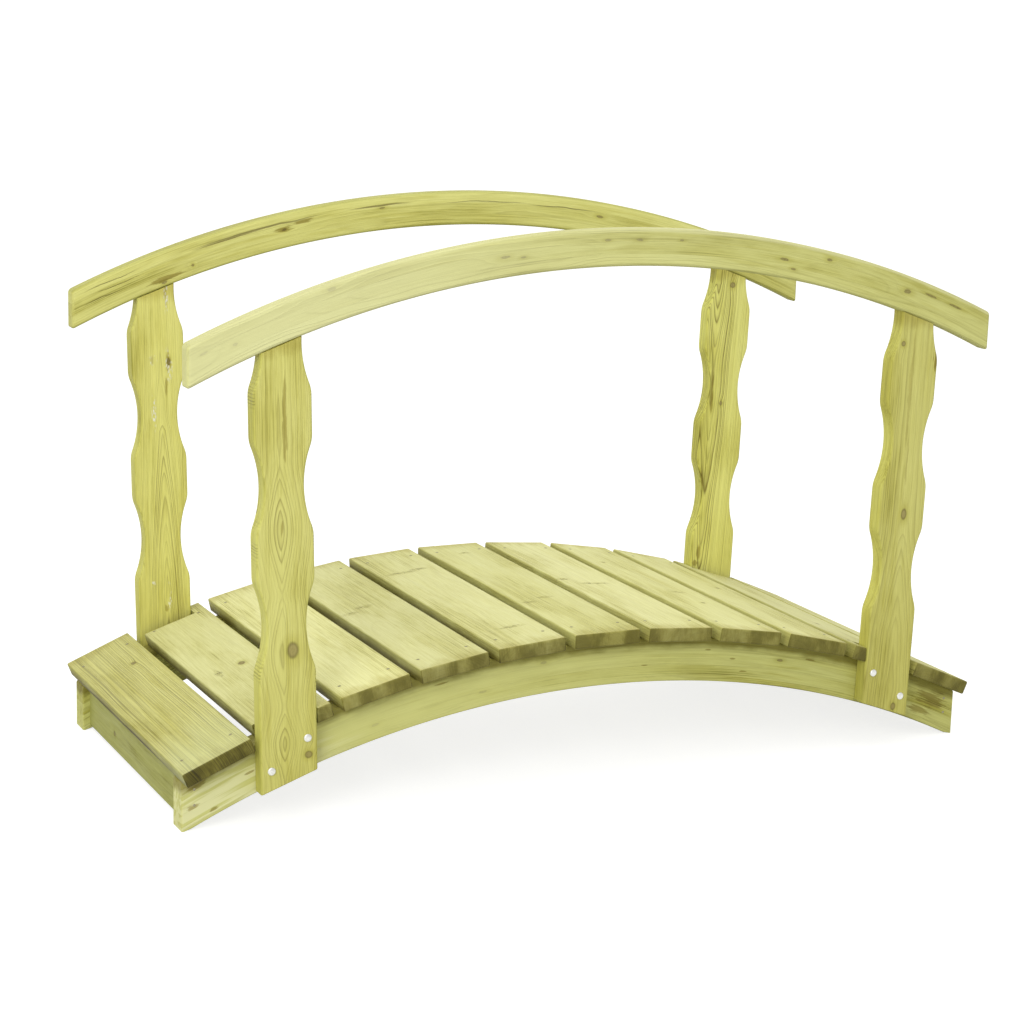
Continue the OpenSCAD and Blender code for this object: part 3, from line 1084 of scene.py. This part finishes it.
for end_name, end in ENDS.items():
    riser = f"{end_name}_riser"
    low, high = (Vector(corner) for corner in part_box(riser))
    place, size = Matrix.Translation((low + high) / 2), high - low
    upright = Matrix(((0, 0, 1), (0, 1, 0), (-1, 0, 0))).to_4x4()
    add_timber(riser, "riser_wood", plank_mesh(riser, place, *size, RISER_EDGE), framed(place @ upright),
               look=RISER_LOOK, seed=40.0 + end, pith=0.01, knots=RISER_KNOTS)


# Fasteners: each lies in a frame whose Z points out of the wood it holds

def fastener_place(x, y, z, side):
    """Place of a fastener that points along Y, to the given side."""
    return Matrix.Translation((x, y, z)) @ Matrix.Rotation(-side * math.pi / 2, 4, "X")


def round_ring(radius, height, waves=0.0):
    """A circle of points, with waves for a star."""
    ring = []
    for k in range(ROUND_STEPS):
        turn = 2 * math.pi * k / ROUND_STEPS
        r = radius + waves * math.cos(STAR_POINTS * turn)
        ring.append(Vector((r * math.cos(turn), r * math.sin(turn), height)))
    return ring


def hex_ring(radius, height):
    """Points round a hexagon, as many as round a circle."""
    per_side = ROUND_STEPS // 6
    turns = [math.pi / 3 * k for k in range(7)]
    corners = [Vector((radius * math.cos(t), radius * math.sin(t), height)) for t in turns]
    return [corners[k].lerp(corners[k + 1], i / per_side) for k in range(6) for i in range(per_side)]


def turned(*profile):
    """Rings of a turned shape, from pairs of radius and height."""
    return [round_ring(radius, height) for radius, height in profile]


def bolt_head_rings():
    """Low dome over a short rim."""
    rim = BOLT_HEAD_RISE * 0.2
    turns = [math.pi / 2 * k / (BOLT_HEAD_STEPS + 0.5) for k in range(BOLT_HEAD_STEPS + 1)]
    dome = [(BOLT_HEAD_R * math.cos(t), rim + (BOLT_HEAD_RISE - rim) * math.sin(t)) for t in turns]
    return turned((BOLT_HEAD_R, -SUNK), *dome)


def washer_rings():
    bevel = WASHER_THICKNESS * 0.25
    return turned(
        (WASHER_R, -SUNK), (WASHER_R, WASHER_THICKNESS - bevel), (WASHER_R - bevel, WASHER_THICKNESS),
    )


def nut_rings():
    """Hexagon whose outer end is turned to a cone, with a dip round the bolt."""
    top = WASHER_THICKNESS + NUT_HEIGHT
    sides = [hex_ring(NUT_R, WASHER_THICKNESS - NUT_LAP), hex_ring(NUT_R, top - NUT_CONE)]
    return sides + turned((NUT_R * 0.88, top - NUT_CROWN), (BOLT_R * 1.15, top), (BOLT_R, top - NUT_DIP))


def thread_rings():
    """Bolt end with a ridge for each turn of thread."""
    start = WASHER_THICKNESS + NUT_HEIGHT - SUNK
    turns = int(BOLT_END / BOLT_PITCH)
    thread = []
    for k in range(turns):
        thread.append((BOLT_R * 0.86, start + BOLT_PITCH * k))
        thread.append((BOLT_R, start + BOLT_PITCH * (k + 0.5)))
    return turned(*thread, (BOLT_R * 0.8, start + BOLT_PITCH * turns))


def screw_rings():
    """Flat head with a star-shaped recess."""
    head = turned((SCREW_R, -SUNK), (SCREW_R, SCREW_RISE * 0.6), (SCREW_R * 0.92, SCREW_RISE))
    rim = round_ring(STAR_R * 1.1, SCREW_RISE, STAR_WAVE)
    return head + [rim, round_ring(STAR_R, SCREW_RISE * 0.2, STAR_WAVE)]


def zinc(name, tone, roughness):
    """Zinc plate: a mottled, slightly scratched metal."""
    g = Graph(bpy.data.materials.new(name))
    spot = g.position()
    bloom = g.smooth(g.noise(spot, (420, 420, 420), detail=3), 0.3, 0.7, 0.82, 1.0)
    colour = g.toned(1.0, tone, g.join(bloom, bloom, bloom * 0.97))
    scratch = g.noise(spot, (2600, 500, 2600), detail=2)
    rough = g.smooth(scratch, 0.3, 0.7, roughness - 0.08, roughness + 0.12)
    return g.finish(colour, rough, scratch, SCRATCH_RELIEF, {"Metallic": 1.0})


bolt_zinc = zinc("bolt_zinc", (0.80, 0.80, 0.78), 0.36)
screw_zinc = zinc("screw_zinc", (0.40, 0.37, 0.24), 0.5)


def add_fasteners(name, mesh_name, shapes, places, material):
    """One piece that holds the shapes at every place."""
    bodies = [[[place @ p for p in ring] for ring in rings] for place in places for rings in shapes]
    add_piece(name, ringed_mesh(mesh_name, bodies, STEEL_SHARP), material)


for side_name, side in SIDES.items():
    for end_name, end in ENDS.items():
        corner = f"{end_name}_{side_name}"
        spots = [(end * (post_x + out), z) for out, z in POST_BOLTS]
        heads = [fastener_place(x, side * post_outer_y, z, side) for x, z in spots]
        nuts = [fastener_place(x, side * beam_inner_y, z, -side) for x, z in spots]
        add_fasteners(f"{corner}_bolt_heads", "bolt_heads", [bolt_head_rings()], heads, bolt_zinc)
        nut_shapes = [washer_rings(), nut_rings(), thread_rings()]
        add_fasteners(f"{corner}_bolt_nuts", "bolt_nuts", nut_shapes, nuts, bolt_zinc)
    screws = [
        fastener_place(end * (beam_arch.half - RISER_SCREW_IN), side * beam_outer_y, z, side)
        for end in ENDS.values() for z in RISER_SCREW_HEIGHTS
    ]
    add_fasteners(f"{side_name}_riser_screws", "riser_screws", [screw_rings()], screws, screw_zinc)
deck_screws = [
    board_matrix(n) @ Matrix.Translation((across, side * beam_middle_y, board_thickness / 2))
    for n in range(1, BOARDS + 1) for side in SIDES.values()
    for across in (-DECK_SCREW_ACROSS, DECK_SCREW_ACROSS)
]
add_fasteners("deck_screws", "deck_screws", [screw_rings()], deck_screws, screw_zinc)


# Stage

WHITE = (1.0, 1.0, 1.0, 1.0)
FLOOR_GREY = (0.42, 0.42, 0.41, 1.0)
FLOOR_GLOW = 0.78
FLOOR_HALF = 400.0
SKY_LIGHT = 0.84


def seen_rays(g):
    """1 for what the camera sees, also in reflections, and 0 for the light that bounces."""
    path = g.node("ShaderNodeLightPath", {})
    seen = 0.0
    for kind in ("Camera", "Glossy", "Transmission"):
        seen = g.most(seen, Value(g, path.outputs[f"Is {kind} Ray"]))
    return seen


def floor_material():
    """White to the camera and in reflections, mid grey to the light that bounces back on to the bridge."""
    g = Graph(bpy.data.materials.new("floor_white"))
    shaded = g.value("ShaderNodeBsdfDiffuse", {"Color": FLOOR_GREY})
    glow = g.value("ShaderNodeEmission", {"Color": WHITE, "Strength": seen_rays(g) * FLOOR_GLOW})
    g.node("ShaderNodeOutputMaterial", {0: g.value("ShaderNodeAddShader", {0: shaded, 1: glow})})
    return g.owner


def studio_world():
    """White to the camera and in reflections, a little dimmer as a light."""
    g = Graph(bpy.data.worlds.new("studio"))
    level = g.smooth(seen_rays(g), 0.0, 1.0, SKY_LIGHT, 1.0)
    sky = g.value("ShaderNodeBackground", {"Color": WHITE, "Strength": level})
    g.node("ShaderNodeOutputWorld", {0: sky})
    return g.owner


def soft_lamp(name, place, target, size, power):
    lamp = bpy.data.lights.new(name, "AREA")
    lamp.shape = "SQUARE"
    lamp.size = size
    lamp.energy = power
    lit = placed(name, lamp)
    lit.location = place
    lit.rotation_euler = (Vector(target) - Vector(place)).to_track_quat("-Z", "Y").to_euler()


floor_mesh = bpy.data.meshes.new("studio_floor")
floor_corners = [(x * FLOOR_HALF, y * FLOOR_HALF, 0.0) for x, y in ((-1, -1), (1, -1), (1, 1), (-1, 1))]
floor_mesh.from_pydata(floor_corners, [], [(0, 1, 2, 3)])
floor_mesh.materials.append(floor_material())
floor = placed("studio_floor", floor_mesh)

bpy.context.scene.world = studio_world()
soft_lamp("key_lamp", place=(-3.4, -3.2, 2.4), target=(-0.3, 0.0, 0.5), size=2.0, power=70)
soft_lamp("top_lamp", place=(-0.6, -0.4, 4.2), target=(0.0, 0.0, 0.3), size=2.6, power=40)

# Camera: place and angles that a pinhole camera fitted to the photograph's edges has, in the CAD frame
IMAGE_SIDE = 1024
FOCAL_PIXELS = 2460
SENSOR = 36.0
CAMERA_PLACE = (-2.1497, -4.3841, 1.5503)
AZIMUTH, PITCH, ROLL = math.radians(25.817), math.radians(12.603), math.radians(-1.666)
camera_data = bpy.data.cameras.new("photo_camera")
camera_data.sensor_width = SENSOR
camera_data.lens = FOCAL_PIXELS / IMAGE_SIDE * SENSOR
camera = placed("photo_camera", camera_data)
ahead = Vector((math.sin(AZIMUTH) * math.cos(PITCH), math.cos(AZIMUTH) * math.cos(PITCH), -math.sin(PITCH)))
level = Vector((math.cos(AZIMUTH), -math.sin(AZIMUTH), 0.0))
down = ahead.cross(level)
camera_right = math.cos(ROLL) * level + math.sin(ROLL) * down
camera_up = math.sin(ROLL) * level - math.cos(ROLL) * down
camera_turn = Matrix((camera_right, camera_up, -ahead)).transposed().to_4x4()
camera.matrix_world = Matrix.Translation(CAMERA_PLACE) @ camera_turn
bpy.context.scene.camera = camera
bpy.context.scene.view_settings.view_transform = "Standard"
